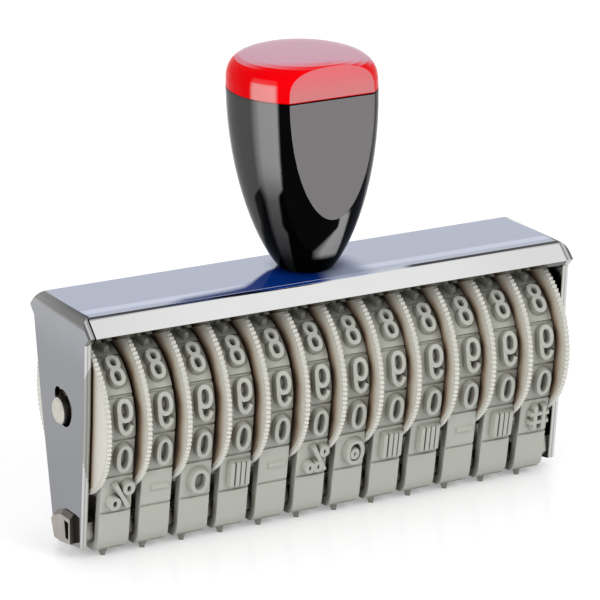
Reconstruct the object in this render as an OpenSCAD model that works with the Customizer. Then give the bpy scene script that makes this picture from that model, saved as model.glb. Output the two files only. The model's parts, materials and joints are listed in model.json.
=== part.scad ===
// Band numbering stamp: twelve rubber type bands on thumbwheels in a chromed steel casing.
// Millimetres. X runs along the casing, -Y is the front, +Z is up.
// The origin is the middle of the print plane, which is Z = 0.

/* [Thumbwheels] */
// Diameter of a knurled disc over its teeth
disc_d = 32; // [31:0.1:34]
// Thickness of a knurled disc
disc_t = 0.9; // [0.7:0.1:2]
// Teeth round the rim of a disc
knurl_teeth = 108; // [60:1:140]
// Depth of the knurl
knurl_depth = 0.45; // [0.2:0.05:0.8]
// Diameter of the fluted hub that drives a band
hub_d = 20.8; // [20:0.1:25]
// Flutes round a hub
hub_flutes = 20; // [12:1:28]
// Radius of one flute
flute_r = 0.8; // [0.4:0.05:1.2]
// Gap between a hub and the next thumbwheel
wheel_gap = 0.85; // [0.6:0.05:1.2]

/* [Type bands] */
// Width of a type band
band_w = 6.15; // [4:0.05:9]
// Gap between a band and the disc of its own thumbwheel
band_gap = 0.15; // [0.1:0.05:0.4]
// Gap between a band and the next thumbwheel
band_play = 0.75; // [0.5:0.05:1]
// Thickness of a band at the bottom of its grooves
band_t = 1.3; // [0.9:0.1:2]
// Height of a tile above the grooves
tile_t = 0.5; // [0.3:0.05:0.8]
// Width of the groove between tiles
groove_w = 0.35; // [0.2:0.05:0.6]
// Height of the raised type above its tile
type_t = 1.3; // [0.8:0.1:1.8]
// Width of the raised type, across the band
type_w = 3.4; // [2.6:0.1:4.8]
// Height of the raised type, along the band
type_h = 5.8; // [4:0.1:6.6]
// Distance from the middle of the bridge to the middle of the tile in use
print_offset = 1.9; // [-2:0.1:2.4]
// Gap between a band and what it runs on
band_fit = 0.1; // [0.05:0.05:0.3]

/* [Shaft] */
// Diameter of the shaft
shaft_d = 5; // [4:0.1:6]
// Height of the shaft above the print plane
shaft_z = 27.5; // [26:0.1:34]
// Reach of the shaft beyond each end plate
shaft_reach = 1.1; // [0.5:0.1:3]
// Bevel on the shaft's ends
shaft_bevel = 0.4; // [0.2:0.1:0.8]
// Radial running clearance of a thumbwheel on the shaft
shaft_fit = 0.06; // [0.03:0.01:0.1]

/* [Bridge] */
// Depth of the bridge, front to back
bridge_d = 11.2; // [9:0.1:12.4]
// Height of the bridge
bridge_h = 4; // [3:0.1:4.4]
// Radius of the bridge's lower edges
bridge_edge_r = 1.2; // [0.8:0.1:1.8]
// Depth of the stiffening rib along the top of the bridge
rib_d = 3; // [2:0.1:4]
// Gap between the rib and the discs above it
rib_gap = 0.9; // [0.6:0.1:2]
// Width of the tongue that passes through each end plate
tongue_w = 1; // [0.8:0.1:1.6]
// Height of the tongue
tongue_h = 3.2; // [2:0.1:3.4]
// Distance of the tongue in front of the middle
tongue_front = 2.2; // [1.4:0.1:2.4]
// Reach of the tongue beyond each end plate
tongue_reach = 0.5; // [0.3:0.1:0.8]
// Thickness of the clip on each end plate
clip_t = 1; // [0.8:0.1:1.3]
// Height of the clip
clip_h = 6.5; // [6:0.1:8]
// Bevel along the clip's upper edges
clip_bevel = 0.9; // [0.4:0.1:1.1]
// Widening of the clip's slot toward its top, on each side
slot_flare = 0.4; // [0.1:0.1:0.6]

/* [Casing] */
// Thickness of the casing's sheet steel
sheet_t = 1.3; // [1:0.1:1.8]
// Depth of the flat top
top_d = 20; // [17:0.5:24]
// Room between the discs and the top plate
top_room = 2.6; // [2.4:0.1:5]
// Reach of each lip beyond the flat top
lip_out = 3.4; // [2:0.1:4.5]
// Drop of each lip below the flat top
lip_drop = 3.1; // [2:0.1:4]
// Outer radius of the casing's bends
bend_r = 1.9; // [1.9:0.1:2.6]
// Gap between an end plate and the thumbwheel beside it
end_gap = 0.55; // [0.3:0.05:0.8]
// Half depth of an end plate just under the lips
plate_neck = 11.4; // [10.5:0.1:12.5]
// Half depth of an end plate at the shaft
plate_waist = 9.7; // [8:0.1:10.4]
// Height of the end plates' lower edge above the print plane
plate_foot_z = 1.2; // [0.8:0.1:1.8]
// Rise of that edge toward its front corner
foot_rise = 1.5; // [0.5:0.1:1.6]
// Diameter of the keyhole's round part
keyhole_d = 7; // [6.4:0.1:7.2]
// Radius of the notch in the keyhole's upper edge
notch_r = 1.8; // [1.2:0.1:2]

/* [Handle] */
// Height of the handle above the casing
handle_h = 41.3; // [34:0.1:55]
// Height of the handle's cap
cap_h = 7.1; // [5:0.1:10]
// Width of the handle, left to right
handle_w = 27.1; // [24:0.1:32]
// Depth of the handle over its two flats
handle_flats = 24.2; // [20:0.1:26]
// Width of the handle's neck
neck_w = 9.4; // [8.5:0.1:14]
// Diameter of the handle's screw
screw_d = 4; // [3:0.1:5]
// Length of the screw inside the handle
screw_len = 16; // [8:0.5:24]
// Diameter of the screw's head
screw_head_d = 8; // [7:0.1:10]
// Height of the screw's head
screw_head_h = 1.8; // [1:0.1:2.1]
// Diameter of the spigot under the cap
spigot_d = 14; // [8:0.5:16]
// Length of the spigot
spigot_len = 5; // [3:0.5:8]
// Bevel on both sides of the joint between body and cap
seam_bevel = 0.2; // [0.1:0.05:0.4]

/* [Hidden] */
$fn = 96;
eps = 0.1;
right_angle = 90;
band_count = 12;

// Layers of a band, as distances outward from its inner face
groove_level = band_t;
tile_level = groove_level + tile_t;
type_level = tile_level + type_t;

// Layout along X
slot_w = band_w + band_gap + band_play;
wheel_pitch = slot_w + disc_t;
inner_len = band_count * wheel_pitch + disc_t + 2 * end_gap;
casing_len = inner_len + 2 * sheet_t;
first_disc_x = end_gap - inner_len / 2;
hub_w = slot_w - wheel_gap;
// How far each thumbwheel has slid to the left on the shaft, as a share of its play
wheel_slide = [0, 0, 0, 0, 0.2, 0, 0.4, 0.8, 0.8, 0.8, 0.8, 0.8, 0.7];

// Heights and levels
disc_r = disc_d / 2;
top_z = shaft_z + disc_r + top_room + sheet_t;
bridge_z = type_level + band_fit;
plate_foot = bridge_d / 2 + 0.3;

// Inner face of a band: a big arc round the hub, a small arc round each lower edge of the bridge
hub_arc_r = hub_d / 2 + band_fit;
edge_arc_r = bridge_edge_r + band_fit;
edge_y = bridge_d / 2 - bridge_edge_r;
edge_z = bridge_z + bridge_edge_r;
arc_dist = norm([edge_y, shaft_z - edge_z]);
// Lean of the straight flanks from the vertical
lean = asin((hub_arc_r - edge_arc_r) / arc_dist) - atan(edge_y / (shaft_z - edge_z));

// Half the loop, measured along the middle of the band: flat, edge arc, flank, hub arc
mid_level = band_t / 2;
edge_arc_len = (edge_arc_r + mid_level) * (right_angle - lean) * PI / 180;
flank_len = sqrt(pow(arc_dist, 2) - pow(hub_arc_r - edge_arc_r, 2));
hub_arc_len = (hub_arc_r + mid_level) * (right_angle + lean) * PI / 180;
flank_start = edge_y + edge_arc_len;
hub_start = flank_start + flank_len;
half_loop = hub_start + hub_arc_len;
tile_count = 13;
tile_pitch = 2 * half_loop / tile_count;
// The tile above the one in use, on the front, carries no type
blank_tile = 1;

// Shape of the handle: depth of its oval section for a width of 1, and the swell of its sides
handle_oval = 1.16;
handle_swell = 2.1;
handle_rise = 0.8;
cap_round = 3.4;
body_h = handle_h - cap_h;
handle_fn = 64;

// Lays a Y-Z outline across X, from x0 on, len thick
module along_x(x0, len) {
    translate([x0, 0, 0]) rotate([90, 0, 90]) linear_extrude(len) children();
}

// Angle round the loop's outward normal, on the +Y side, at a distance along the loop from its middle
function side_normal(s) =
    s < edge_y ? -right_angle
    : s < flank_start ? -right_angle + (s - edge_y) / edge_arc_len * (right_angle - lean)
    : s < hub_start ? -lean
    : -lean + (s - hub_start) / hub_arc_len * (right_angle + lean);

// Point on the inner face of the loop, on the +Y side
function side_point(s) =
    let (a = side_normal(s), dir = [cos(a), sin(a)])
    s < edge_y ? [s, edge_z - edge_arc_r]
    : s < flank_start ? [edge_y, edge_z] + edge_arc_r * dir
    : s < hub_start ? [edge_y, edge_z] + edge_arc_r * dir + (s - flank_start) * [-sin(a), cos(a)]
    : [0, shaft_z] + hub_arc_r * dir;

// Places its children on the loop, their x axis outward; negative distances are on the front
module on_loop(s) {
    wrapped = s > half_loop ? s - 2 * half_loop : s < -half_loop ? s + 2 * half_loop : s;
    p = side_point(abs(wrapped));
    mirror([wrapped < 0 ? 1 : 0, 0]) translate(p) rotate(side_normal(abs(wrapped))) children();
}

// Points of the loop's +Y side at a level above its inner face, from the bottom up
edge_steps = 4;
hub_steps = 24;
function arc(y, z, r, from, to, steps) =
    [for (i = [0 : steps]) let (a = from + (to - from) * i / steps) [y + r * cos(a), z + r * sin(a)]];
function loop_side(level) = concat(
    arc(edge_y, edge_z, edge_arc_r + level, -right_angle, -lean, edge_steps),
    arc(0, shaft_z, hub_arc_r + level, -lean, right_angle, hub_steps)
);

// Outline of the loop at a level above its inner face
module loop_outline(level) {
    side = loop_side(level);
    polygon(concat(side, [for (i = [len(side) - 2 : -1 : 0]) [-side[i].x, side[i].y]]));
}

// Band number i, counted from 0 at the left
module band(i) {
    x = first_disc_x + disc_t + band_gap + i * wheel_pitch;
    color("darkgray") {
        along_x(x, band_w) difference() {
            loop_outline(tile_level);
            loop_outline(0);
            for (k = [0 : tile_count - 1]) {
                on_loop((k + 0.5) * tile_pitch - print_offset)
                    translate([groove_level, -groove_w / 2]) square([tile_t + eps, groove_w]);
            }
        }
        along_x(x + (band_w - type_w) / 2, type_w) intersection() {
            difference() {
                loop_outline(type_level);
                loop_outline(tile_level - eps);
            }
            union() {
                for (k = [0 : tile_count - 1]) {
                    if (k != tile_count - blank_tile) {
                        on_loop(k * tile_pitch - print_offset)
                            translate([0, -type_h / 2]) square([type_level + 1, type_h]);
                    }
                }
            }
        }
    }
}

// Knurled outline of a disc
module knurled_outline() {
    polygon([
        for (i = [0 : 2 * knurl_teeth - 1])
            let (r = disc_r - (i % 2) * knurl_depth, a = i * 180 / knurl_teeth)
            [r * cos(a), r * sin(a)]
    ]);
}

module shaft_bore() {
    circle(shaft_d / 2 + shaft_fit);
}

// Knurled disc whose left face is at x
module disc(x) {
    along_x(x, disc_t) translate([0, shaft_z]) difference() {
        knurled_outline();
        shaft_bore();
    }
}

// Left face of thumbwheel number i where it rests on the shaft
function wheel_x(i) = first_disc_x + i * wheel_pitch - wheel_slide[i] * band_play;

// Thumbwheel number i: its disc, and the fluted hub that drives its band
module wheel(i) {
    x = wheel_x(i);
    color("ivory") {
        disc(x);
        along_x(x + disc_t - eps, hub_w + eps) translate([0, shaft_z]) difference() {
            circle(hub_d / 2);
            shaft_bore();
            for (k = [0 : hub_flutes - 1]) {
                rotate(k * 360 / hub_flutes) translate([hub_d / 2, 0]) circle(flute_r);
            }
        }
    }
}

// Loose disc that closes the last band's right side
module end_disc() {
    color("ivory") disc(wheel_x(band_count));
}

module shaft() {
    len = casing_len + 2 * shaft_reach;
    color("lightsteelblue") translate([-len / 2, 0, shaft_z]) rotate([0, 90, 0]) rotate_extrude()
        polygon([
            [0, 0], [shaft_d / 2 - shaft_bevel, 0], [shaft_d / 2, shaft_bevel],
            [shaft_d / 2, len - shaft_bevel], [shaft_d / 2 - shaft_bevel, len], [0, len]
        ]);
}

// Hole for the shaft in an end plate: the shaft lies in the bottom of a wider hole with a notch
module keyhole() {
    slack = keyhole_d / 2 - shaft_d / 2;
    hole_offset = slack * [-0.7, 0.6];
    notch_offset = (keyhole_d - shaft_d / 2 - notch_r) * [0.5, 0.87];
    translate([0, shaft_z] + hole_offset) circle(keyhole_d / 2);
    translate([0, shaft_z] + notch_offset) circle(notch_r);
}

// Slot through which the bridge's tongue passes
tongue_fit = 0.1;
tongue_z = bridge_z + (bridge_h - tongue_h) / 2;
module tongue_slot() {
    translate([-tongue_front - tongue_w / 2 - tongue_fit, tongue_z - tongue_fit])
        square([tongue_w + 2 * tongue_fit, tongue_h + 2 * tongue_fit]);
}

// Outline of an end plate: the back edge from the top down, the foot, then the front edge
plate_set_back = 0.3;
neck_drop = 1.6;
plate_top = top_d / 2 - plate_set_back;
plate_back = [
    [plate_top, top_z], [plate_top + lip_out, top_z - lip_drop],
    [plate_neck, top_z - lip_drop - neck_drop], [plate_waist, shaft_z]
];
plate_outline = concat(
    plate_back,
    [[plate_foot, plate_foot_z], [plate_foot / 2, plate_foot_z], [-plate_foot, plate_foot_z + foot_rise]],
    [for (i = [len(plate_back) - 1 : -1 : 0]) [-plate_back[i].x, plate_back[i].y]]
);

// End plate whose left face is at x
module end_plate(x) {
    along_x(x, sheet_t) difference() {
        polygon(plate_outline);
        keyhole();
        tongue_slot();
    }
}

// Half of the top plate's section: the flat, the bend and the lip, on the +Y side
lip_relief = 0.2;
module top_half() {
    lip_angle = atan(lip_drop / lip_out);
    set_back = bend_r * tan(lip_angle / 2);
    bend_y = top_d / 2 - set_back;
    translate([0, top_z - sheet_t]) square([bend_y, sheet_t]);
    translate([bend_y, top_z - bend_r]) {
        intersection() {
            difference() {
                circle(bend_r);
                circle(bend_r - sheet_t);
            }
            polygon([
                [0, 0], [0, top_d],
                top_d * [sin(lip_angle), 1], top_d * [sin(lip_angle), cos(lip_angle)]
            ]);
        }
        rotate(-lip_angle) translate([0, bend_r - sheet_t])
            square([norm([lip_out, lip_drop]) - set_back, sheet_t]);
    }
}

// Waste outside the rounded bend between the top and the right end plate
module bend_waste() {
    translate([casing_len / 2 - bend_r, -top_d, top_z - bend_r]) difference() {
        cube([bend_r + 1, 2 * top_d, bend_r + 1]);
        rotate([-90, 0, 0]) cylinder(r = bend_r, h = 2 * top_d);
    }
}

screw_fit = 0.15;
module casing() {
    color("silver") difference() {
        union() {
            along_x(-inner_len / 2 + lip_relief, inner_len - 2 * lip_relief) {
                top_half();
                mirror([1, 0]) top_half();
            }
            translate([-casing_len / 2, -plate_top, top_z - sheet_t])
                cube([casing_len, 2 * plate_top, sheet_t]);
            end_plate(-casing_len / 2);
            end_plate(casing_len / 2 - sheet_t);
        }
        bend_waste();
        mirror([1, 0, 0]) bend_waste();
        translate([0, 0, top_z - sheet_t - eps]) cylinder(r = screw_d / 2 + screw_fit, h = sheet_t + 2 * eps);
    }
}

// Bar that holds the bands down, with a tongue at each end
module bridge() {
    bar_len = inner_len - 2 * tongue_fit;
    tongue_len = casing_len + 2 * tongue_reach;
    color("gray") {
        along_x(-bar_len / 2, bar_len) {
            for (side = [-1, 1]) {
                translate([side * edge_y, edge_z]) circle(bridge_edge_r);
            }
            translate([-edge_y, bridge_z]) square([2 * edge_y, bridge_h]);
            translate([-bridge_d / 2, edge_z]) square([bridge_d, bridge_h - bridge_edge_r]);
            translate([-rib_d / 2, edge_z]) square([rib_d, shaft_z - disc_r - rib_gap - edge_z]);
        }
        along_x(-tongue_len / 2, tongue_len)
            translate([-tongue_front - tongue_w / 2, tongue_z]) square([tongue_w, tongue_h]);
    }
}

// Corners of a clip, as shares of the end plates' half depth and of the clip's height
clip_corners = [[0.64, 0], [0.83, 0.52], [0.61, 0.8], [0.05, 0.98], [-0.64, 1], [-0.59, 0.12], [0.12, 0]];
bevelled_above = 0.7;
clip_z = plate_foot_z + 0.9;
clip_skin = clip_t / 5;

// Outline of a clip, with its upper corners lowered by a bevel
module clip_outline(bevel) {
    polygon([
        for (corner = clip_corners)
            [corner.x * plate_foot, clip_z + corner.y * clip_h - (corner.y > bevelled_above ? bevel : 0)]
    ]);
}

// Clip between the left faces of its inner and outer skins, slotted round the bridge's tongue
module clip(inner_x, outer_x) {
    low = tongue_z - tongue_fit;
    high = tongue_z + tongue_h + tongue_fit;
    low_half = tongue_w / 2 + tongue_fit;
    high_half = low_half + slot_flare;
    color("slategray") difference() {
        hull() {
            along_x(inner_x, clip_skin) clip_outline(0);
            along_x(outer_x, clip_skin) clip_outline(clip_bevel);
        }
        along_x(min(inner_x, outer_x) - eps, clip_t + 2 * eps) translate([-tongue_front, 0])
            polygon([[-low_half, low], [low_half, low], [high_half, high], [-high_half, high]]);
    }
}

module clip_left() {
    clip(-casing_len / 2 - clip_skin, -casing_len / 2 - clip_t);
}

module clip_right() {
    clip(casing_len / 2, casing_len / 2 + clip_t - clip_skin);
}

// Round pan-head screw, from under the top plate up into the handle
module handle_screw() {
    color("gainsboro") translate([0, 0, top_z - sheet_t - screw_head_h]) {
        cylinder(d = screw_head_d, h = screw_head_h);
        cylinder(d = screw_d, h = screw_head_h + sheet_t + screw_len);
    }
}

// Half width of the handle's body at height h above the casing
function body_half(h) =
    neck_w / 2 + (handle_w - neck_w) / 2 * pow(1 - pow(1 - h / body_h, handle_swell), handle_rise);

// Turned shape made oval and cut to a flat at the front and the back, both with the given side outline
module oval_handle(profile, flat_outline) {
    intersection() {
        scale([1, handle_oval, 1]) rotate_extrude($fn = handle_fn) polygon(profile);
        along_x(-handle_w, 2 * handle_w) polygon(concat(
            flat_outline,
            [for (i = [len(flat_outline) - 1 : -1 : 0]) [-flat_outline[i].x, flat_outline[i].y]]
        ));
    }
}

// Half width of the cap at an angle from 0 at the joint to 90 at the top
function cap_half(a) = handle_w / 2 * pow(cos(a), 2 / cap_round);

flat_y = handle_flats / 2;
module handle_body() {
    steps = 16;
    sides_h = body_h - seam_bevel;
    color("black") translate([0, 0, top_z]) difference() {
        oval_handle([
            [0, 0],
            for (i = [0 : steps]) let (h = sides_h * pow(i / steps, 1.5)) [body_half(h), h],
            [handle_w / 2 - seam_bevel, body_h], [0, body_h]
        ], [[flat_y, -eps], [flat_y, sides_h], [flat_y - seam_bevel, body_h]]);
        translate([0, 0, -eps]) cylinder(r = screw_d / 2 + screw_fit, h = screw_len + 1 + eps);
        translate([0, 0, body_h - spigot_len - screw_fit])
            cylinder(r = spigot_d / 2 + screw_fit, h = spigot_len + 1);
    }
}

module handle_cap() {
    color("red") translate([0, 0, top_z + body_h]) {
        oval_handle([
            [0, 0], [handle_w / 2 - seam_bevel, 0],
            for (a = [0 : 7.5 : right_angle])
                [cap_half(a), max(seam_bevel, cap_h * pow(sin(a), 2 / cap_round))]
        ], [[flat_y - seam_bevel, 0], [flat_y, seam_bevel], [flat_y, handle_h]]);
        translate([0, 0, -spigot_len]) cylinder(d = spigot_d, h = spigot_len + 1);
    }
}

casing();
shaft();
bridge();
clip_left();
clip_right();
wheel(0);  // wheel_01
wheel(1);  // wheel_02
wheel(2);  // wheel_03
wheel(3);  // wheel_04
wheel(4);  // wheel_05
wheel(5);  // wheel_06
wheel(6);  // wheel_07
wheel(7);  // wheel_08
wheel(8);  // wheel_09
wheel(9);  // wheel_10
wheel(10);  // wheel_11
wheel(11);  // wheel_12
end_disc();
band(0);  // band_01
band(1);  // band_02
band(2);  // band_03
band(3);  // band_04
band(4);  // band_05
band(5);  // band_06
band(6);  // band_07
band(7);  // band_08
band(8);  // band_09
band(9);  // band_10
band(10);  // band_11
band(11);  // band_12
handle_screw();
handle_body();
handle_cap();
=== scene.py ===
"""Hand numbering stamp: finishes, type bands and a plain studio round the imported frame, in metres."""

import json
import math

import bmesh
import bpy
from mathutils import Matrix, Vector


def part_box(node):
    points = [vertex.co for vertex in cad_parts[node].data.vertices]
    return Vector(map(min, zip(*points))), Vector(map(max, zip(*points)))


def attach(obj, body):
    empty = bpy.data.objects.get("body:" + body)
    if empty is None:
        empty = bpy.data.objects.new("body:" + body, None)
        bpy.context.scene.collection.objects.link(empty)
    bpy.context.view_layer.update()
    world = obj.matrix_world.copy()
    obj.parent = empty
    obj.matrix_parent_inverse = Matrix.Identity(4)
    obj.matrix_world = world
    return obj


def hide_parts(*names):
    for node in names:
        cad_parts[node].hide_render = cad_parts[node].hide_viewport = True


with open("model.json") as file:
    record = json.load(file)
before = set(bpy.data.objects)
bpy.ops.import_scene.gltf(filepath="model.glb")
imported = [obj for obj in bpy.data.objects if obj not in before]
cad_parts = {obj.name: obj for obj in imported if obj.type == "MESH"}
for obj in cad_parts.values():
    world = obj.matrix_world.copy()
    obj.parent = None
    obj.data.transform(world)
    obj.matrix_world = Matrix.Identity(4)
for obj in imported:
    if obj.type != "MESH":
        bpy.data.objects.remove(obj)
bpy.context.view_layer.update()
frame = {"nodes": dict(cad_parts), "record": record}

MM = 0.001
NODES = frame["nodes"]
scene = bpy.context.scene

# ---------------------------------------------------------------- camera
CAMERA_AZIMUTH = math.radians(-26.80)
CAMERA_ELEVATION = math.radians(16.85)
CAMERA_ROLL = math.radians(-1.149)
CAMERA_DISTANCE = 0.6967
CAMERA_TARGET = Vector((-0.00125, 0.0, 0.0408))
CAMERA_LENS = 224.9
CAMERA_SENSOR = 36
CAMERA_NEAR = 0.01


def make_camera():
    data = bpy.data.cameras.new("camera")
    data.sensor_width = CAMERA_SENSOR
    data.lens = CAMERA_LENS
    data.clip_start = CAMERA_NEAR
    camera = bpy.data.objects.new("camera", data)
    scene.collection.objects.link(camera)
    flat = math.cos(CAMERA_ELEVATION)
    away = Vector((
        flat * math.sin(CAMERA_AZIMUTH),
        -flat * math.cos(CAMERA_AZIMUTH),
        math.sin(CAMERA_ELEVATION),
    ))
    right = Vector((0, 0, 1)).cross(away).normalized()
    up = away.cross(right)
    rolled_right = math.cos(CAMERA_ROLL) * right + math.sin(CAMERA_ROLL) * up
    rolled_up = away.cross(rolled_right)
    turn = Matrix((rolled_right, rolled_up, away)).transposed().to_4x4()
    camera.matrix_world = Matrix.Translation(CAMERA_TARGET + CAMERA_DISTANCE * away) @ turn
    scene.camera = camera


make_camera()

# ---------------------------------------------------------------- colours and node helpers


def srgb(r, g, b):
    """Linear colour from 0..255 display values."""
    def linear(v):
        v /= 255
        return v / 12.92 if v <= 0.04045 else ((v + 0.055) / 1.055) ** 2.4
    return (linear(r), linear(g), linear(b), 1.0)


def grey(v):
    return srgb(v, v, v)


def plain(v):
    """Grey of a linear value, which a number's socket reads as that value."""
    return (v, v, v, 1.0)


def darker(colour, share):
    return tuple(c * share for c in colour[:3]) + (1.0,)


class Shader:
    """A material's node tree, with short calls for what the finishes below need."""

    def __init__(self, name):
        self.material = bpy.data.materials.new(name)
        self.material.use_nodes = True
        self.tree = self.material.node_tree
        self.bsdf = self.tree.nodes["Principled BSDF"]

    def node(self, kind, **values):
        made = self.tree.nodes.new(kind)
        for key, value in values.items():
            setattr(made, key, value)
        return made

    def link(self, source, target):
        self.tree.links.new(source, target)

    def feed(self, socket, value):
        """Link a socket to an input, or set the input to a plain value."""
        if isinstance(value, bpy.types.NodeSocket):
            self.link(value, socket)
        else:
            socket.default_value = value

    def node_out(self, kind, inputs, output=0, **values):
        made = self.node(kind, **values)
        for key, value in inputs.items():
            self.feed(made.inputs[key], value)
        return made.outputs[output]

    def set(self, **values):
        """Inputs of the shader itself, with _ for each space in their names."""
        for key, value in values.items():
            self.feed(self.bsdf.inputs[key.replace("_", " ")], value)

    # What a point of the surface knows about itself

    def position(self):
        return self.node("ShaderNodeTexCoord").outputs["Object"]

    def normal(self):
        return self.node("ShaderNodeNewGeometry").outputs["Normal"]

    def axis(self, vector, index):
        return self.node_out("ShaderNodeSeparateXYZ", {0: vector}, index)

    def millimetres(self, index):
        """Coordinate of the point along one axis, in mm."""
        return self.math("MULTIPLY", self.axis(self.position(), index), 1 / MM)

    def height(self, level):
        """Height of the point above a level, in mm."""
        return self.math("SUBTRACT", self.millimetres(2), level)

    def azimuth(self):
        """Way the surface faces round Z in degrees: 0 to the front, 90 toward +X."""
        normal = self.normal()
        to_front = self.math("MULTIPLY", self.axis(normal, 1), -1.0)
        turn = self.math("ARCTAN2", self.axis(normal, 0), to_front)
        return self.math("MULTIPLY", turn, 180 / math.pi)

    def openness(self, distance):
        """1 on open surfaces, falling to 0 deep in narrow gaps."""
        return self.node_out("ShaderNodeAmbientOcclusion", {"Distance": distance}, "AO", samples=8)

    # Sums and ramps

    def math(self, operation, a, b=0.0, clamp=False):
        return self.node_out("ShaderNodeMath", {0: a, 1: b}, operation=operation, use_clamp=clamp)

    def absolute(self, value):
        return self.math("ABSOLUTE", value)

    def product(self, first, *others):
        """All values multiplied, from left to right."""
        for other in others:
            first = self.math("MULTIPLY", first, other)
        return first

    def ramp(self, value, low, high, to_low=0.0, to_high=1.0, smooth=True):
        return self.node_out(
            "ShaderNodeMapRange", {0: value, 1: low, 2: high, 3: to_low, 4: to_high},
            interpolation_type="SMOOTHSTEP" if smooth else "LINEAR",
        )

    def fall(self, value, low, high):
        """1 below low, 0 above high."""
        return self.ramp(value, low, high, 1.0, 0.0)

    def rise(self, value, start, width):
        """Straight rise from 0 at the start to 1 a width further; all three may be sockets."""
        return self.math("DIVIDE", self.math("SUBTRACT", value, start), width, clamp=True)

    def band(self, value, low, high, soft):
        """1 from low to high, falling to 0 over the soft width on both sides."""
        rise = self.ramp(self.math("SUBTRACT", value, low), -soft, 0.0)
        fall = self.fall(self.math("SUBTRACT", value, high), 0.0, soft)
        return self.math("MULTIPLY", rise, fall)

    def noise(self, scale, detail=3.0, stretch=(1, 1, 1)):
        mapped = self.node_out("ShaderNodeMapping", {"Vector": self.position(), "Scale": stretch})
        inputs = {"Vector": mapped, "Scale": scale, "Detail": detail}
        return self.node_out("ShaderNodeTexNoise", inputs, "Fac")

    def uneven_openness(self, distance, noise):
        """Openness with a small ripple of a noise in it."""
        ripple = self.ramp(noise, 0.2, 0.8, -0.03, 0.03, smooth=False)
        return self.math("ADD", self.openness(distance), ripple)

    # Colours and surface

    def mix(self, factor, first, second, blend="MIX"):
        made = self.node("ShaderNodeMix", data_type="RGBA", blend_type=blend)
        self.feed(made.inputs[0], factor)
        self.feed(made.inputs[6], first)
        self.feed(made.inputs[7], second)
        return made.outputs[2]

    def turns(self, value, colour, *steps):
        """Colour that turns to each step's own while the value goes from the step's low to its high."""
        for low, high, tint in steps:
            colour = self.mix(self.ramp(value, low, high), colour, tint)
        return colour

    def stops(self, value, *stops):
        """Colour ramp through (position, colour) stops."""
        made = self.node("ShaderNodeValToRGB")
        elements = made.color_ramp.elements
        while len(elements) < len(stops):
            elements.new(1.0)
        for element, (place, colour) in zip(elements, stops):
            element.position = place
            element.color = colour
        self.feed(made.inputs[0], value)
        return made.outputs[0]

    def shaded(self, colour, distance, low, high, darkest):
        """The colour with painted shade: darkened where openness falls from high to low."""
        shade = self.ramp(self.openness(distance), low, high, darkest, 1.0)
        shade = self.node_out("ShaderNodeCombineColor", {0: shade, 1: shade, 2: shade})
        return self.mix(1.0, colour, shade, "MULTIPLY")

    def bump(self, height, strength, distance):
        inputs = {"Height": height, "Strength": strength, "Distance": distance}
        self.link(self.node_out("ShaderNodeBump", inputs), self.bsdf.inputs["Normal"])


# ---------------------------------------------------------------- chromed sheet
# In the finishes x and y are in mm from the handle's axis, heights in mm and angles in degrees;
# up and along are what the surface's normal has of Z and X
CASING_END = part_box("casing")[1].x / MM
CASING_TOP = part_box("casing")[1].z / MM
# Depth in mm, in from the casing's end, that the stops of its front edges span
EDGE_SPAN = 2.0
# Blue reflection on the top plate: x of its left tip, and y of its back edge there and at its widest
BLUE_TIP = -36.0
BLUE_FRONT = -10.0
BLUE_BACK = 3.0


def sheet_reflections(paint, up, x, y):
    """Painted reflections on the sheet, from its lower edge, up the lip and round the bend to the flat top.
    """
    beside_handle = paint.absolute(paint.math("ADD", x, 4.0))
    lip = paint.turns(beside_handle, srgb(227, 228, 227), (20.0, 48.0, srgb(217, 218, 217)))
    bend = paint.turns(
        x, srgb(64, 66, 74),
        (-36.0, -26.0, srgb(38, 50, 88)), (-15.0, -10.0, srgb(66, 82, 124)), (0.0, 20.0, srgb(56, 57, 64)),
    )
    # The bend is painted dark except in front of the handle, and a pale painted reflection line runs along
    # the flat behind it
    bend = paint.mix(paint.band(x, -5.0, 14.5, 3.0), bend, srgb(190, 196, 208))
    flat = paint.mix(paint.band(y, -7.6, -6.0, 0.8), srgb(158, 165, 187), srgb(186, 193, 214))
    faces = paint.turns(
        up, srgb(196, 195, 192),
        (0.62, 0.7, lip), (0.78, 0.86, bend), (0.975, 0.995, flat),
    )
    # Faces that look downwards get painted shade
    return paint.mix(paint.fall(up, -0.3, -0.05), faces, srgb(96, 94, 92))


def plate_edge_reflections(paint, up, depth):
    """Painted reflections on the front edges of the end plates: a bright outer line, then a second one; the
    ears above are painted darker.
    """
    across = paint.math("MULTIPLY", depth, 1 / EDGE_SPAN)
    edge = paint.stops(
        across,
        (0.0, grey(206)), (0.2, grey(200)), (0.26, grey(162)), (0.36, grey(170)),
        (0.42, grey(204)), (0.5, srgb(196, 196, 188)), (0.6, srgb(150, 148, 138)),
    )
    ear = paint.stops(across, (0.0, grey(96)), (0.22, grey(110)), (0.34, grey(206)), (0.5, grey(158)))
    return paint.turns(up, edge, (0.25, 0.5, ear))


def end_plate_reflections(paint, along):
    """Painted reflection on the faces that look along X, paler towards the top of the casing."""
    ends = paint.stops(
        along,
        (0.2, grey(70)), (0.5, grey(100)), (0.75, srgb(120, 119, 118)), (0.85, srgb(114, 113, 112)),
        (0.94, grey(134)), (0.99, srgb(128, 129, 134)),
    )
    pale = paint.turns(along, ends, (0.95, 0.995, srgb(146, 147, 152)))
    ends = paint.turns(paint.height(CASING_TOP), ends, (-11.4, -1.9, pale))
    cloud = paint.noise(60, 2.0, (1, 1, 0.4))
    return paint.mix(paint.ramp(cloud, 0.3, 0.7, 0.0, 0.2), ends, srgb(132, 133, 137))


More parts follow.
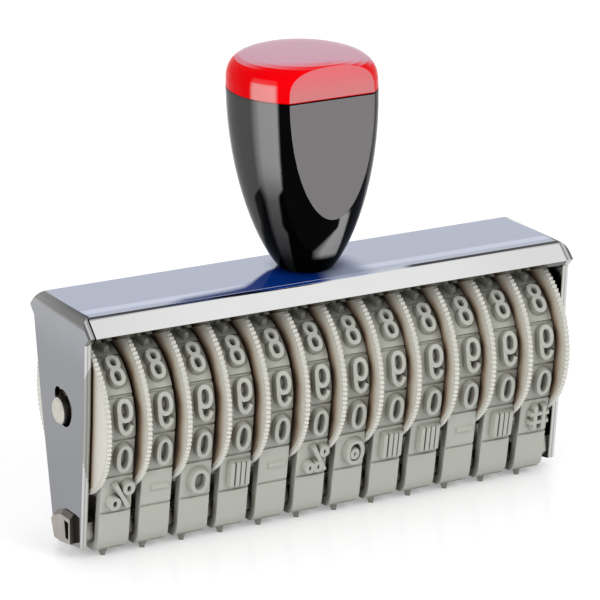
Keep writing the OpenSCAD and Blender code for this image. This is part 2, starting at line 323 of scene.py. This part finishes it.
def blue_reflection(paint, up, x, y):
    """Place and colour of the reflection that runs along the front and widens towards the handle's foot."""
    reach = paint.stops(
        paint.ramp(x, BLUE_TIP, 0.0, smooth=False),
        (0.0, plain(0.0)), (0.08, plain(0.07)), (0.2, plain(0.24)), (0.55, plain(0.32)),
        (0.62, plain(0.43)), (0.78, plain(0.81)), (0.92, plain(1.0)),
    )
    back_edge = paint.ramp(reach, 0.0, 1.0, BLUE_FRONT, BLUE_BACK, smooth=False)
    softness = paint.ramp(x, -20.0, -10.0, 2.6, 1.0)
    # It stays on the flat at its tip and comes down over the bend near the handle
    lowest_up = paint.ramp(x, -18.0, -10.0, 0.93, 0.8)
    place = paint.product(
        paint.rise(back_edge, y, softness),
        paint.fall(x, 6.0, 11.0),
        paint.rise(up, lowest_up, 0.05),
        paint.ramp(x, BLUE_TIP - 1.0, BLUE_TIP + 2.0),
    )
    blue = paint.turns(x, srgb(54, 68, 116), (-22.0, -10.0, srgb(6, 44, 118)))
    slant = paint.math("SUBTRACT", x, paint.math("MULTIPLY", y, 0.3))
    return place, paint.turns(slant, blue, (0.5, 4.5, srgb(150, 158, 182)))


def chrome():
    """Chromed sheet steel: its reflections of a white room are painted as tints by place and by facing,
    with painted shade in narrow gaps.
    """
    paint = Shader("chrome")
    normal = paint.normal()
    up = paint.axis(normal, 2)
    along = paint.absolute(paint.axis(normal, 0))
    x, y = paint.millimetres(0), paint.millimetres(1)
    depth = paint.math("SUBTRACT", CASING_END, paint.absolute(x))
    edge_place = paint.product(paint.ramp(depth, 1.45, 1.3), paint.fall(up, 0.8, 0.9))
    colour = paint.mix(edge_place, sheet_reflections(paint, up, x, y), plate_edge_reflections(paint, up, depth))
    colour = paint.mix(paint.ramp(along, 0.12, 0.28), colour, end_plate_reflections(paint, along))
    # Painted highlight on upright faces that turn partly along X
    upright = paint.fall(paint.absolute(up), 0.1, 0.2)
    corner_highlight = paint.product(paint.band(along, 0.3, 0.94, 0.04), upright)
    colour = paint.mix(corner_highlight, colour, grey(206))
    blue_place, blue = blue_reflection(paint, up, x, y)
    # Painted shade darkens the sheet where it stands close to other parts
    colour = paint.shaded(paint.mix(blue_place, colour, blue), 0.004, 0.1, 0.7, 0.35)
    paint.set(
        Base_Color=colour,
        Metallic=paint.math("SUBTRACT", 1.0, blue_place),
        Roughness=paint.ramp(paint.noise(90, 2.0), 0.3, 0.8, 0.05, 0.08, smooth=False),
        IOR=1.03,
    )
    paint.bump(paint.noise(60, 1.0), 0.02, 0.0003)
    return paint.material


# ---------------------------------------------------------------- steel, moulding and rubber
SHAFT_LOW, SHAFT_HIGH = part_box("shaft")
SHAFT_Z = (SHAFT_LOW.z + SHAFT_HIGH.z) / 2
WHEEL_R = (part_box("wheel_01")[1].z - SHAFT_Z) / MM
KNURL_DEPTH = 0.45
KNURL_ROOT = WHEEL_R - KNURL_DEPTH


def drawn_steel(name, colour, rough, edge=None):
    """Drawn steel, with painted shade in narrow gaps; edge gives a painted dark reflection to the faces
    that don't look along X.
    """
    paint = Shader(name)
    streaks = paint.noise(700, 3.0, (0.05, 1, 1))
    tint = paint.mix(streaks, colour, darker(colour, 0.78))
    # Painted dark reflection on the faces that don't look along X
    if edge:
        along = paint.absolute(paint.axis(paint.normal(), 0))
        tint = paint.turns(along, edge, (0.8, 0.95, tint))
    # Painted shade darkens the steel in narrow gaps
    paint.set(
        Base_Color=paint.shaded(tint, 0.005, 0.15, 0.85, 0.12),
        Metallic=1.0,
        Roughness=paint.ramp(streaks, 0.2, 0.8, rough, rough + 0.14, smooth=False),
    )
    paint.bump(streaks, 0.12, 0.0002)
    return paint.material


def ivory_plastic():
    """Off-white moulding with brown painted shade deep between the bands, kept pale at the rim."""
    paint = Shader("ivory_plastic")
    mottle = paint.noise(500, 4.0)
    across = paint.math("POWER", paint.millimetres(1), 2.0)
    upward = paint.math("POWER", paint.height(SHAFT_Z / MM), 2.0)
    radius = paint.math("SQRT", paint.math("ADD", across, upward))
    above_root = paint.math("SUBTRACT", radius, KNURL_ROOT)
    # Painted shade runs from dark brown deep in narrow gaps to ivory on open faces; the rim mask keeps it
    # off near the rim
    rim = paint.ramp(above_root, -0.95, -0.15, 0.0, 0.9)
    colour = paint.stops(
        paint.math("MAXIMUM", paint.uneven_openness(0.0036, mottle), rim),
        (0.0, srgb(36, 28, 22)), (0.25, srgb(92, 72, 56)), (0.45, srgb(146, 124, 102)),
        (0.65, srgb(190, 178, 160)), (0.85, srgb(210, 208, 198)), (1.0, srgb(214, 213, 204)),
    )
    # The roots of the knurling are painted a little darker than its tips, as shade
    knurl_shade = paint.turns(above_root, srgb(200, 199, 190), (0.05, 0.35, srgb(206, 205, 196)))
    colour = paint.turns(above_root, colour, (-0.13, -0.03, knurl_shade))
    paint.set(Base_Color=colour, Roughness=0.5)
    paint.bump(mottle, 0.08, 0.0001)
    return paint.material


def rubber(name, open_colour, half_shade_colour):
    """Matt rubber with painted shade in its narrow gaps."""
    paint = Shader(name)
    grain = paint.noise(2600, 3.0)
    # Painted shade: darker as openness falls deep in narrow gaps
    colour = paint.stops(
        paint.uneven_openness(0.003, paint.noise(260, 4.0)),
        (0.0, srgb(26, 23, 20)), (0.22, srgb(96, 92, 84)), (0.5, half_shade_colour), (0.8, open_colour),
    )
    paint.set(Base_Color=colour, Roughness=paint.ramp(grain, 0.3, 0.7, 0.5, 0.68, smooth=False))
    paint.bump(grain, 0.15, 0.0001)
    return paint.material


# ---------------------------------------------------------------- the handle's plastics
# Heights on the body are above its foot, and those on the cap above its seam with the body
HANDLE_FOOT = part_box("handle_body")[0].z / MM
CAP_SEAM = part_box("handle_body")[1].z / MM
# What a normal has of Y where a face begins to count as a flat, and where it fully does
FLAT_FACING = (0.985, 0.998)


def polished(paint, colour, smoothest, roughest):
    """Polished plastic in a colour."""
    rough = paint.ramp(paint.noise(90, 2.0), 0.3, 0.7, smoothest, roughest, smooth=False)
    paint.set(Base_Color=colour, Roughness=rough, IOR=1.07)
    paint.bump(paint.noise(160, 1.0), 0.03, 0.0003)
    return paint.material


def side_reflection_place(paint, way, height, facing):
    """Where the left side carries a painted grey reflection: widest above the waist, and ending before the
    foot.
    """
    step = paint.ramp(height, 14.6, 19.1, -84.0, -71.0)
    end = paint.math("ADD", step, paint.ramp(height, 6.6, 10.6, -7.0, 0.0))
    return paint.product(
        paint.band(way, -112.0, end, 3.5), paint.ramp(height, 5.1, 7.6), paint.fall(facing, 0.97, 0.99)
    )


def streak_highlight_place(paint, way, height):
    """Where the painted highlight streak left of the front flat runs, from the cap to the foot."""
    left = paint.ramp(height, 14.1, 18.6, -71.5, -75.0)
    softness = paint.ramp(height, 14.1, 18.6, 5.0, 7.5)
    notch = paint.math("MULTIPLY", paint.band(height, 10.6, 16.1, 2.0), 4.0)
    notched_way = paint.math("ADD", way, notch)
    return paint.product(paint.rise(way, left, softness), paint.fall(notched_way, -54.5, -51.5))


def patch_highlight_place(paint, way, height):
    """Where the painted bright highlight patch climbs from the foot along the right of the front flat."""
    start = paint.ramp(height, 5.1, 10.1, -9.0, 9.0, smooth=False)
    softness = paint.ramp(height, 5.1, 9.6, 16.0, 3.0, smooth=False)
    return paint.product(
        paint.rise(paint.math("ADD", way, softness), start, softness),
        paint.fall(way, 18.0, 23.0),
        paint.band(height, 4.4, 12.0, 1.4),
    )


def black_plastic():
    """Polished black with painted reflections of a studio: a grey side, a highlight streak, a bright patch
    and grey flats.
    """
    paint = Shader("black_plastic")
    facing = paint.absolute(paint.axis(paint.normal(), 1))
    way = paint.azimuth()
    height = paint.height(HANDLE_FOOT)
    # Painted highlight streak, brighter higher up the handle
    streak = paint.stops(
        paint.ramp(height, 2.6, 22.6, smooth=False),
        (0.0, grey(26)), (0.15, grey(54)), (0.35, grey(66)), (0.62, grey(80)), (0.8, grey(112)),
        (0.9, grey(128)), (1.0, grey(134)),
    )
    # Painted grey reflection on the left side over the black
    colour = paint.mix(side_reflection_place(paint, way, height, facing), grey(3), grey(72))
    colour = paint.mix(streak_highlight_place(paint, way, height), colour, streak)
    # Painted bright highlight patch
    colour = paint.mix(patch_highlight_place(paint, way, height), colour, grey(140))
    # Painted grey reflection on the flats
    colour = paint.mix(paint.ramp(facing, *FLAT_FACING), colour, srgb(114, 111, 112))
    return polished(paint, colour, 0.08, 0.11)


def red_plastic():
    """Polished red with painted reflections: paler on the top and the flats, with the body's painted
    highlight streak carried on.
    """
    paint = Shader("red_plastic")
    normal = paint.normal()
    right, back, up = (paint.axis(normal, i) for i in range(3))
    height = paint.height(CAP_SEAM)
    # Painted highlight streak, carried on from the body
    streak = paint.turns(height, srgb(226, 140, 138), (2.4, 4.4, srgb(228, 80, 80)))
    streaked = paint.product(paint.band(paint.azimuth(), -72.0, -56.0, 4.0), paint.fall(up, 0.16, 0.5))
    # Painted paler reflection on the flats
    flat = paint.turns(height, srgb(198, 118, 120), (0.4, 5.4, srgb(212, 106, 110)))
    colour = paint.mix(streaked, srgb(226, 1, 9), streak)
    colour = paint.mix(paint.ramp(paint.absolute(back), *FLAT_FACING), colour, flat)
    # The painted pale reflection on the top ends sooner at the front and reaches further to the right
    frontward = paint.math("MULTIPLY", paint.math("MINIMUM", back, 0.0), 0.5)
    rightward = paint.math("MULTIPLY", paint.math("MAXIMUM", right, 0.0), 0.5)
    upward = paint.math("ADD", paint.math("ADD", up, frontward), rightward)
    colour = paint.turns(upward, colour, (0.74, 0.93, srgb(200, 156, 171)))
    return polished(paint, colour, 0.09, 0.12)


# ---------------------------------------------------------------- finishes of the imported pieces
SLOT_FINISH = {
    "chromed_steel": chrome(),
    "bright_steel": drawn_steel("bright_steel", srgb(204, 200, 190), 0.22),
    "spring_steel": drawn_steel("spring_steel", srgb(176, 170, 162), 0.3, srgb(96, 90, 84)),
    "ivory_plastic": ivory_plastic(),
    "grey_rubber": rubber("grey_rubber", srgb(174, 176, 167), srgb(140, 140, 131)),
    "black_plastic": black_plastic(),
    "red_plastic": red_plastic(),
}
TYPE_RUBBER = rubber("type_rubber", srgb(188, 189, 181), srgb(150, 150, 142))


def set_finish(obj, *materials):
    obj.data.materials.clear()
    for material in materials:
        obj.data.materials.append(material)


for part in frame["record"]["subparts"]:
    set_finish(NODES[part["node"]], SLOT_FINISH[part["material_slot"]])

# Worn edges of the sheet steel
WELD_GAP = 0.01 * MM
WEAR_WIDTH = 0.13 * MM
WEAR_ANGLE = math.radians(40)


def wear_edges(obj):
    obj.modifiers.new("weld", "WELD").merge_threshold = WELD_GAP
    wear = obj.modifiers.new("wear", "BEVEL")
    wear.width = WEAR_WIDTH
    wear.segments = 2
    wear.limit_method = "ANGLE"
    wear.angle_limit = WEAR_ANGLE


wear_edges(NODES["casing"])

# ---------------------------------------------------------------- the loop that a band follows
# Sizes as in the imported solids; BAND_FIT is how far the band lies off the hub and the bridge
BAND_FIT = 0.1 * MM
HUB_R = 10.4 * MM + BAND_FIT
BRIDGE_EDGE_R = 1.2 * MM
EDGE_R = BRIDGE_EDGE_R + BAND_FIT
# Middle of the arc round one edge of the bridge
EDGE_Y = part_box("bridge")[1].y - BRIDGE_EDGE_R
EDGE_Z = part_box("bridge")[0].z + BRIDGE_EDGE_R
BAND_T = 1.3 * MM
TILE_T = 0.5 * MM
TYPE_T = 1.3 * MM
GROOVE_W = 0.35 * MM
# The floor of a groove stands this far above the band's own thickness
GROOVE_FILL = 0.22 * MM
TILE_COUNT = 13
# How far up the front the middle of the lowest tile lies from the middle of the bridge
PRINT_OFFSET = 1.9 * MM
TILE_LEVEL = BAND_T + TILE_T
GROOVE_LEVEL = BAND_T + GROOVE_FILL
MID_LEVEL = BAND_T / 2
# The flank is tangent to the hub's arc and to the arc round the bridge's edge, and leans by this angle
ARC_DIST = math.hypot(EDGE_Y, SHAFT_Z - EDGE_Z)
LEAN = math.asin((HUB_R - EDGE_R) / ARC_DIST) - math.atan(EDGE_Y / (SHAFT_Z - EDGE_Z))
EDGE_ARC_LEN = (EDGE_R + MID_LEVEL) * (math.pi / 2 - LEAN)
FLANK_LEN = math.sqrt(ARC_DIST**2 - (HUB_R - EDGE_R) ** 2)
HUB_ARC_LEN = (HUB_R + MID_LEVEL) * (math.pi / 2 + LEAN)
FLANK_START = EDGE_Y + EDGE_ARC_LEN
HUB_START = FLANK_START + FLANK_LEN
HALF_LOOP = HUB_START + HUB_ARC_LEN
TILE_PITCH = 2 * HALF_LOOP / TILE_COUNT


def loop_point(distance, level):
    """(y, z) at a distance up the front from the middle of the bridge, at a level above the inner face."""
    distance = (distance + HALF_LOOP) % (2 * HALF_LOOP) - HALF_LOOP
    side = -1 if distance >= 0 else 1
    gone = abs(distance)
    if gone < EDGE_Y:
        y, z, a = gone, EDGE_Z - EDGE_R, -math.pi / 2
    elif gone < FLANK_START:
        a = -math.pi / 2 + (gone - EDGE_Y) / EDGE_ARC_LEN * (math.pi / 2 - LEAN)
        y, z = EDGE_Y + EDGE_R * math.cos(a), EDGE_Z + EDGE_R * math.sin(a)
    elif gone < HUB_START:
        a, run = -LEAN, gone - FLANK_START
        y = EDGE_Y + EDGE_R * math.cos(a) - run * math.sin(a)
        z = EDGE_Z + EDGE_R * math.sin(a) + run * math.cos(a)
    else:
        a = -LEAN + (gone - HUB_START) / HUB_ARC_LEN * (math.pi / 2 + LEAN)
        y, z = HUB_R * math.cos(a), SHAFT_Z + HUB_R * math.sin(a)
    return side * (y + level * math.cos(a)), z + level * math.sin(a)


# ---------------------------------------------------------------- raised characters
# Each is a list of strokes, and a stroke is its points in mm and whether it closes on itself


def ring(x, y, rx, ry, square=2.3, count=28):
    """Closed oval stroke."""
    points = []
    for i in range(count):
        a = 2 * math.pi * i / count
        c, d = math.cos(a), math.sin(a)
        points.append((
            x + rx * math.copysign(abs(c) ** (2 / square), c),
            y + ry * math.copysign(abs(d) ** (2 / square), d),
        ))
    return points, True


def dot_ring(x, y, rx, ry):
    """Small oval of a sign."""
    return ring(x, y, rx, ry, count=20)


def smooth_point(a, b, c, d, u):
    """Coordinate at share u between b and c on the smooth curve through a, b, c and d."""
    square = (2 * a - 5 * b + 4 * c - d) * u * u
    cube = (3 * b - a - 3 * c + d) * u**3
    return 0.5 * (2 * b + (c - a) * u + square + cube)


def curve(*corners, steps=5):
    """Open stroke through its corners, rounded between them."""
    points = []
    ends = [corners[0]] + list(corners) + [corners[-1]]
    for around in zip(ends, ends[1:], ends[2:], ends[3:]):
        for i in range(steps):
            points.append(tuple(smooth_point(*values, i / steps) for values in zip(*around)))
    points.append(corners[-1])
    return points, False


def line(x0, y0, x1, y1, count=9):
    """Open straight stroke."""
    return [(x0 + (x1 - x0) * i / count, y0 + (y1 - y0) * i / count) for i in range(count + 1)], False


def turned(stroke):
    """A stroke turned upside down."""
    points, closed = stroke
    return [(-x, -y) for x, y in points], closed


# Half width and half height of a digit
X = 1.15
Y = 2.4
TAIL = curve((X, 1.0), (X, -0.9), (0.75, -2.05), (0.05, -2.5), (-0.7, -2.25), (-1.05, -1.6))
CHARACTERS = {
    "0": [ring(0, 0, X, Y)],
    "1": [line(0.15, Y, 0.15, -Y), line(-0.75, 1.7, 0.1, Y - 0.1, 3)],
    "2": [
        curve(
            (-X, 1.45), (-0.75, 2.2), (0, Y), (0.8, 2.15), (X, 1.35), (0.75, 0.35), (-0.2, -0.95),
            (-X, -Y + 0.1),
        ),
        line(-X, -Y, X, -Y, 4),
    ],
    "3": [
        curve((-X, 1.8), (-0.5, Y - 0.1), (0.3, Y), (1.0, 1.9), (0.95, 0.95), (0.3, 0.25), (-0.35, 0.15)),
        curve((0.2, 0.15), (0.85, -0.3), (X, -1.3), (0.6, -2.2), (-0.2, -Y), (-0.9, -2.1), (-X, -1.5)),
    ],
    "4": [line(0.5, Y, 0.5, -Y), line(0.4, Y - 0.1, -X, -0.75, 7), line(-X, -1.0, X + 0.1, -1.0, 4)],
    "5": [
        line(-0.85, Y, X, Y, 4),
        line(-0.85, Y - 0.1, -0.95, 0.15, 5),
        curve(
            (-0.9, 0.2), (-0.2, 0.65), (0.65, 0.35), (X, -0.6), (X, -1.5), (0.6, -2.3), (-0.2, -Y),
            (-X, -1.9),
        ),
    ],
    "6": [ring(0, -1.0, X, 1.5), turned(TAIL)],
    "7": [line(-X, Y, X, Y, 4), curve((X, Y - 0.1), (0.7, 1.3), (0.0, -0.4), (-0.35, -Y))],
    "8": [ring(0, 1.2, 0.95, 1.0), ring(0, -1.15, 1.05, 1.15)],
    "9": [ring(0, 1.0, X, 1.5), TAIL],
    "O": [ring(0.3, 0, 1.45, 2.1)],
    "-": [line(-1.4, 0, 1.4, 0, 4)],
    "/": [line(-1.5, -2.3, 1.5, 2.3)],
    "%": [dot_ring(-1.3, 1.35, 0.78, 0.95), dot_ring(1.3, -1.45, 0.78, 0.95), line(-1.2, -2.2, 1.2, 2.2)],
    "m": [dot_ring(x, y, 0.6, 0.8) for x, y in ((-1.35, 1.5), (-0.3, -1.6), (1.4, -1.6))]
    + [line(-1.6, -2.3, 0.7, 2.4)],
    "|": [line(x, 2.2, x, -2.2) for x in (-1.5, -0.5, 0.5, 1.6)],
    "@": [ring(0, 0, 1.5, 2.2), dot_ring(0.1, -0.3, 0.55, 0.8)],
    "#": [line(x, 2.2, x, -2.2) for x in (-0.9, 0.9)] + [line(-1.7, y, 1.7, y) for y in (0.9, -0.9)],
}
# Half width of a stroke's flat face across the band and along it, and the spread of its sloping sides
FACE_X = 0.38
FACE_Y = 0.33
SPREAD = 0.32
# How far an open stroke's face goes past its last point
END_REACH = 0.25
# How deep a stroke's foot stands in the tile
FOOT_DEPTH = 0.1
# Each further stroke stands this much lower, so that no two faces share a plane
STROKE_DROP = 0.012
# The dash stands this much lower than the other signs
DASH = "-"
DASH_DROP = 0.8


def stroke_solid(points, closed, drop):
    """Ridge along one stroke: (x, y, height) in mm, and its quads."""
    count = len(points)
    top = TYPE_T / MM - drop
    profile = ((1, SPREAD, -FOOT_DEPTH), (1, 0.0, top), (-1, 0.0, top), (-1, SPREAD, -FOOT_DEPTH))
    verts, faces = [], []
    for i, (x, y) in enumerate(points):
        before = points[i - 1] if i or closed else points[i]
        after = points[(i + 1) % count] if i < count - 1 or closed else points[i]
        run = Vector((after[0] - before[0], after[1] - before[1])).normalized()
        nx, ny = -run.y, run.x
        cap = 0.0 if closed or 0 < i < count - 1 else (1 if i else -1)
        for side, out, height in profile:
            end_reach = cap * (out + END_REACH)
            verts.append((
                x + side * nx * (FACE_X + out) + run.x * end_reach,
                y + side * ny * (FACE_Y + out) + run.y * end_reach,
                height,
            ))
    for i in range(count if closed else count - 1):
        a, b = 4 * i, 4 * ((i + 1) % count)
        faces += [(a + j, a + (j + 1) % 4, b + (j + 1) % 4, b + j) for j in range(4)]
    if not closed:
        last = 4 * (count - 1)
        faces += [(3, 2, 1, 0), (last, last + 1, last + 2, last + 3)]
    return verts, faces


def character(text):
    """Points and faces of all strokes of one character."""
    verts, faces = [], []
    low = DASH_DROP if text == DASH else 0.0
    for i, (points, closed) in enumerate(CHARACTERS[text]):
        new_verts, new_faces = stroke_solid(points, closed, low + STROKE_DROP * i)
        faces += [tuple(v + len(verts) for v in face) for face in new_faces]
        verts += new_verts
    return verts, faces


# ---------------------------------------------------------------- type bands
# Characters from the tile in use upward on the front: a sign, a blank, a sign, then 0, 9, 8 ... 1
LOW_SIGN = "/"
BLANK = ""
ROW_SIGNS = ["%", "-", "O", "|", "-", "m", "@", "|", "|", "-", "|", "#"]
DIGITS = "0987654321"
# How far in from the band's side and down from the tile's face its worn edge goes
EDGE_BEVEL = 0.12 * MM
# How far a tile's steep end goes in between the groove and the worn edge
TILE_DRAFT = 0.04 * MM
# How far right of a band's middle line its type stands
TYPE_SHIFT = 0.6 * MM
# How far up from its tile's middle a character stands, in mm
TYPE_RISE = {"0": 0.3, "9": 0.4, "8": 0.4}
TILE_STEPS = 9
SHARP_ANGLE = math.radians(35)


def band_sections():
    """(distance, height of the outer face) of each section along the loop."""
    sections = []
    groove = GROOVE_W / 2
    for k in range(TILE_COUNT):
        start = (k - 0.5) * TILE_PITCH + PRINT_OFFSET
        first = start + groove + EDGE_BEVEL
        last = start + TILE_PITCH - groove - EDGE_BEVEL
        sections.append((start - groove, GROOVE_LEVEL))
        sections.append((start + groove, GROOVE_LEVEL))
        sections.append((start + groove + TILE_DRAFT, TILE_LEVEL - EDGE_BEVEL))
        for i in range(TILE_STEPS + 1):
            sections.append((first + (last - first) * i / TILE_STEPS, TILE_LEVEL))
        sections.append((last + EDGE_BEVEL - TILE_DRAFT, TILE_LEVEL - EDGE_BEVEL))
    return sections


def add_belt(bm, left, right):
    """The band's own loop with its tiles, from one side to the other."""
    rings = []
    for distance, top in band_sections():
        outline = [
            (left, 0.0), (left, top - EDGE_BEVEL), (left + EDGE_BEVEL, top),
            (right - EDGE_BEVEL, top), (right, top - EDGE_BEVEL), (right, 0.0),
        ]
        rings.append([bm.verts.new((x, *loop_point(distance, level))) for x, level in outline])
    for here, after in zip(rings, rings[1:] + rings[:1]):
        for i in range(len(here)):
            j = (i + 1) % len(here)
            bm.faces.new((here[i], here[j], after[j], after[i]))


def add_character(bm, text, middle, centre):
    """One raised character, mirrored as type is, in the second material."""
    verts, faces = character(text)
    made = []
    for x, y, height in verts:
        on_loop = loop_point(centre + y * MM, TILE_LEVEL + height * MM)
        made.append(bm.verts.new((middle - x * MM, *on_loop)))
    for face in faces:
        bm.faces.new([made[i] for i in face]).material_index = 1


def make_band(number):
    node = f"band_{number:02d}"
    low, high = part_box(node)
    bm = bmesh.new()
    add_belt(bm, low.x, high.x)
    middle = (low.x + high.x) / 2 + TYPE_SHIFT
    texts = [LOW_SIGN, BLANK, ROW_SIGNS[number - 1]] + list(DIGITS)
    for k, text in enumerate(texts):
        if text != BLANK:
            centre = k * TILE_PITCH + PRINT_OFFSET + TYPE_RISE.get(text, 0.0) * MM
            add_character(bm, text, middle, centre)
    bmesh.ops.recalc_face_normals(bm, faces=bm.faces)
    mesh = bpy.data.meshes.new(f"type_band_{number:02d}")
    bm.to_mesh(mesh)
    bm.free()
    obj = bpy.data.objects.new(f"type_band_{number:02d}", mesh)
    scene.collection.objects.link(obj)
    set_finish(obj, SLOT_FINISH["grey_rubber"], TYPE_RUBBER)
    mesh.shade_smooth()
    mesh.set_sharp_from_angle(angle=SHARP_ANGLE)
    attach(obj, "frame")
    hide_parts(node)


for band_number in range(1, len(ROW_SIGNS) + 1):
    make_band(band_number)

# ---------------------------------------------------------------- room and light
FLOOR_HALF = 3.0
FLOOR_GLOW = 0.3
ROOM_LIGHT = 0.45
WHITE = (1, 1, 1, 1)


def seen_directly(tree):
    """1 for camera, glossy and transmission rays, 0 for the light that falls on the object."""
    path = tree.nodes.new("ShaderNodeLightPath")
    seen = path.outputs["Is Camera Ray"]
    for output in ("Is Glossy Ray", "Is Transmission Ray"):
        add = tree.nodes.new("ShaderNodeMath")
        add.operation = "ADD"
        add.use_clamp = True
        tree.links.new(seen, add.inputs[0])
        tree.links.new(path.outputs[output], add.inputs[1])
        seen = add.outputs[0]
    return seen


def make_floor():
    corners = [(-1, -1), (1, -1), (1, 1), (-1, 1)]
    mesh = bpy.data.meshes.new("floor")
    mesh.from_pydata([(x * FLOOR_HALF, y * FLOOR_HALF, 0) for x, y in corners], [], [(0, 1, 2, 3)])
    floor = bpy.data.objects.new("floor", mesh)
    scene.collection.objects.link(floor)
    paint = Shader("floor")
    glow = paint.math("MULTIPLY", seen_directly(paint.tree), FLOOR_GLOW)
    paint.set(Base_Color=plain(0.8), Roughness=0.12, IOR=1.15, Emission_Color=WHITE, Emission_Strength=glow)
    set_finish(floor, paint.material)


def background(tree, colour, strength):
    made = tree.nodes.new("ShaderNodeBackground")
    made.inputs["Color"].default_value = colour
    made.inputs["Strength"].default_value = strength
    return made.outputs[0]


def make_world():
    """Soft room light on the object, and plain white where the room itself is seen."""
    world = bpy.data.worlds.new("room")
    scene.world = world
    world.use_nodes = True
    tree = world.node_tree
    tree.nodes.clear()
    mix = tree.nodes.new("ShaderNodeMixShader")
    tree.links.new(seen_directly(tree), mix.inputs[0])
    tree.links.new(background(tree, (0.97, 0.98, 1.0, 1), ROOM_LIGHT), mix.inputs[1])
    tree.links.new(background(tree, WHITE, 1.0), mix.inputs[2])
    output = tree.nodes.new("ShaderNodeOutputWorld")
    tree.links.new(mix.outputs[0], output.inputs["Surface"])


def softbox(name, place, aim, size, power):
    """Soft lamp that lights surfaces without showing as a highlight on them."""
    data = bpy.data.lights.new(name, "AREA")
    data.shape = "RECTANGLE"
    data.size, data.size_y = size
    data.energy = power
    obj = bpy.data.objects.new(name, data)
    scene.collection.objects.link(obj)
    obj.location = place
    obj.rotation_euler = (Vector(aim) - Vector(place)).to_track_quat("-Z", "Y").to_euler()
    obj.visible_camera = False
    obj.visible_glossy = False
    return obj


def strip(name, x, y, width, low, high, power):
    """Upright strip beside the handle, seen only as the handle's highlight."""
    middle = (low + high) / 2
    obj = softbox(name, (x, y, middle), (0, y, middle), (width, high - low), power)
    obj.visible_glossy = True
    obj.visible_diffuse = False
    receivers = bpy.data.collections.new(f"{name}_lights")
    for node in ("handle_body", "handle_cap"):
        receivers.objects.link(NODES[node])
    obj.light_linking.receiver_collection = receivers
    obj.light_linking.blocker_collection = receivers


make_floor()
make_world()
STAMP_MIDDLE = (0, 0, 0.035)
softbox("key", (0.3, -0.65, 0.5), STAMP_MIDDLE, (0.4, 0.4), 3.0)
softbox("left_fill", (-0.6, -0.45, 0.3), STAMP_MIDDLE, (0.5, 0.5), 3.4)
softbox("rear_fill", (0.1, 0.75, 0.22), STAMP_MIDDLE, (0.5, 0.4), 1.9)
softbox("overhead", (0.05, 0.1, 0.9), STAMP_MIDDLE, (0.6, 0.5), 1.4)
strip("right_strip", x=0.12, y=-0.02, width=0.04, low=0.0, high=0.082, power=0.25)
scene.view_settings.view_transform = "Standard"
